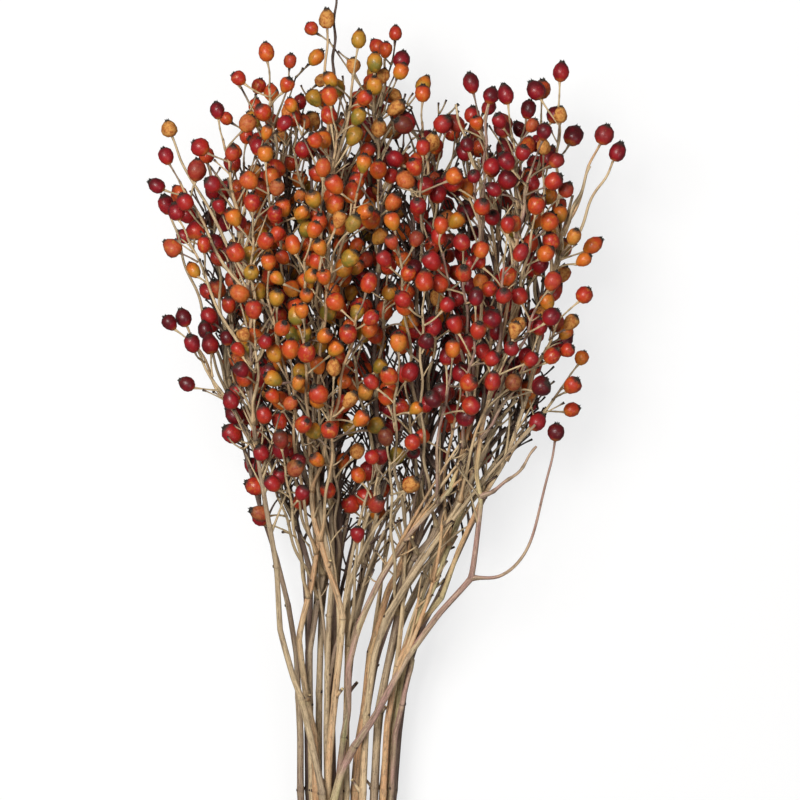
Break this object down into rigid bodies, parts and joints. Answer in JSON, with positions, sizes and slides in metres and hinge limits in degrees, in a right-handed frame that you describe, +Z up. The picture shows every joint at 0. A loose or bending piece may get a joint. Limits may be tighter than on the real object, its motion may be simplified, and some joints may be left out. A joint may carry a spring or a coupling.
{
  "type": "rose hip bunch",
  "caption": "Bunch of cut rose hip sprigs lying on a surface, branching stems with glossy round hips, tied with twine near the cut ends.",
  "frame": {"origin": "centre of the bunch's footprint, on the surface that it lies on", "axes": "+Z up from the surface, +Y along the stems from the cut ends to the tips, +X to the right seen from above with the tips away"},
  "size_m": [0.2379, 0.5002, 0.1297],
  "materials": {
    "sprig": "satin bark with glossy fruit skin",
    "twine": "matte jute"
  },
  "bodies": {
    "root": {"sprig_01": "sprig", "sprig_02": "sprig", "sprig_03": "sprig", "sprig_04": "sprig", "sprig_05": "sprig", "sprig_06": "sprig", "sprig_07": "sprig", "sprig_08": "sprig", "sprig_09": "sprig", "sprig_10": "sprig", "sprig_11": "sprig", "sprig_12": "sprig", "sprig_13": "sprig", "sprig_14": "sprig", "sprig_15": "sprig", "sprig_16": "sprig", "sprig_17": "sprig", "sprig_18": "sprig", "sprig_19": "sprig", "sprig_20": "sprig", "sprig_21": "sprig", "sprig_22": "sprig", "sprig_23": "sprig", "sprig_24": "sprig", "twine_tie": "twine"}
  },
  "joints": []
}
